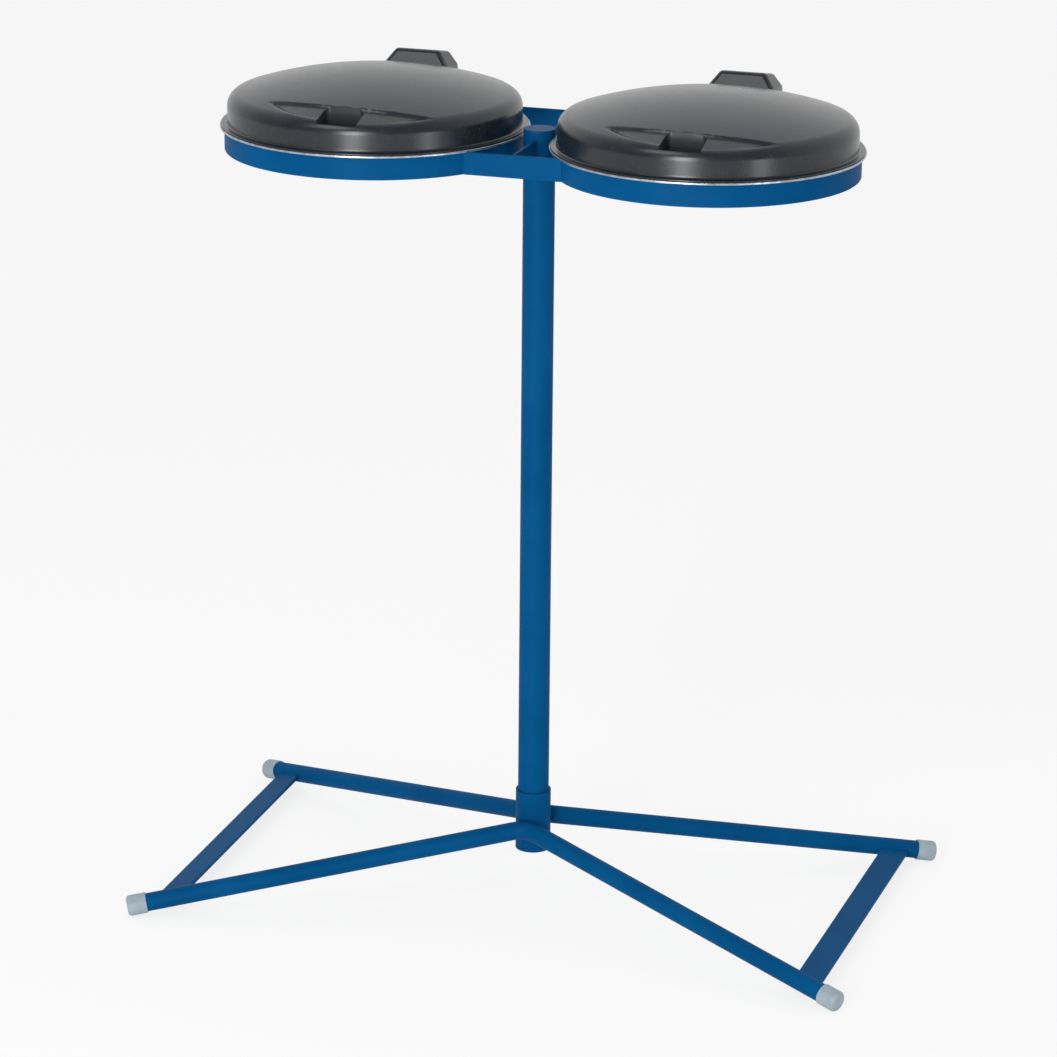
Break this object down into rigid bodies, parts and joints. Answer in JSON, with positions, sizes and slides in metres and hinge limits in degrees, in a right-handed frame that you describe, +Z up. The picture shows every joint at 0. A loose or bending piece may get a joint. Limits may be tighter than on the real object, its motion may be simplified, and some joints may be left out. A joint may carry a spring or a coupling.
{
  "type": "double sack holder",
  "caption": "Free-standing steel stand with a central post on splayed legs, hoops that hold refuse sacks side by side, and domed hinged lids.",
  "frame": {"origin": "on the floor, on the axis of the post", "axes": "+Z up, -Y to the front where the users stand and the lids' finger notches face, X through the middles of both hoops"},
  "size_m": [1.0218, 0.574, 1.143],
  "materials": {
    "painted_steel": "satin blue powder coat",
    "black_plastic": "satin-gloss moulded black",
    "grey_plastic": "soft matt grey",
    "blue_plastic": "moulded, dark blue",
    "galvanised_steel": "bright galvanised",
    "zinc_plated_steel": "bright zinc plate"
  },
  "bodies": {
    "stand": {"base_socket": "painted_steel", "socket_floor": "painted_steel", "clamp_nut": "painted_steel", "clamp_screw": "zinc_plated_steel", "front_leg_tube": "painted_steel", "rear_leg_tube": "painted_steel", "post": "painted_steel", "post_cap": "blue_plastic", "front_bar": "painted_steel", "rear_bar": "painted_steel", "front_tie": "painted_steel", "rear_tie": "painted_steel", "left_brace": "painted_steel", "front_left_foot_cap": "grey_plastic", "rear_left_foot_cap": "grey_plastic", "left_hoop": "painted_steel", "left_sack_ring": "galvanised_steel", "left_hinge_bracket": "painted_steel", "left_hinge_pin": "zinc_plated_steel", "left_pin_clip": "zinc_plated_steel", "right_brace": "painted_steel", "front_right_foot_cap": "grey_plastic", "rear_right_foot_cap": "grey_plastic", "right_hoop": "painted_steel", "right_sack_ring": "galvanised_steel", "right_hinge_bracket": "painted_steel", "right_hinge_pin": "zinc_plated_steel", "right_pin_clip": "zinc_plated_steel"},
    "left_lid": {"left_lid_dome": "black_plastic", "left_lid_skirt": "black_plastic", "left_lid_finger_pocket": "black_plastic", "left_lid_hinge_housing": "black_plastic"},
    "right_lid": {"right_lid_dome": "black_plastic", "right_lid_skirt": "black_plastic", "right_lid_finger_pocket": "black_plastic", "right_lid_hinge_housing": "black_plastic"}
  },
  "joints": [
    {"name": "left_lid_hinge", "type": "hinge", "parent": "stand", "child": "left_lid", "pos_m": [-0.2286, 0.216, 1.075], "axis": [-1, 0, 0], "range_deg": [0, 100]},
    {"name": "right_lid_hinge", "type": "hinge", "parent": "stand", "child": "right_lid", "pos_m": [0.2286, 0.216, 1.075], "axis": [-1, 0, 0], "range_deg": [0, 100]}
  ]
}
